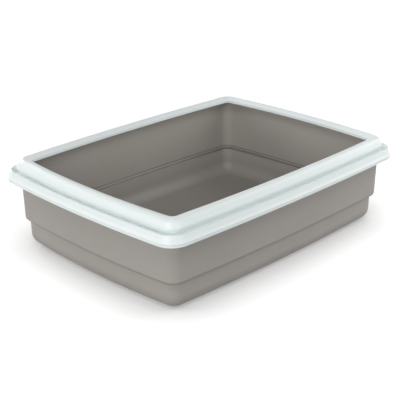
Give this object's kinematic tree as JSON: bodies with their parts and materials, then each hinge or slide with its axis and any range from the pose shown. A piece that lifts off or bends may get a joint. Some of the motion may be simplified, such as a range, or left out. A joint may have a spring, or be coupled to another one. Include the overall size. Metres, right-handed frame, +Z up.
{
  "type": "litter tray",
  "caption": "Open litter tray: a deep two-tier moulded pan with softly bowed sides and a lift-off rim frame with a flared skirt and an inward lip.",
  "frame": {"origin": "middle of the tray's outline, on the flat underside that it stands on", "axes": "+X along the long side, +Y along the short side, +Z up"},
  "size_m": [0.5794, 0.4338, 0.159],
  "materials": {
    "pan_plastic": "satin moulded polypropylene, taupe grey",
    "rim_plastic": "satin moulded polypropylene, pale mint white"
  },
  "bodies": {
    "pan": {"pan": "pan_plastic"},
    "rim": {"rim": "rim_plastic"}
  },
  "joints": [
    {"name": "rim_lift", "type": "slide", "parent": "pan", "child": "rim", "axis": [0, 0, 1], "range_m": [0, 0.08]}
  ]
}
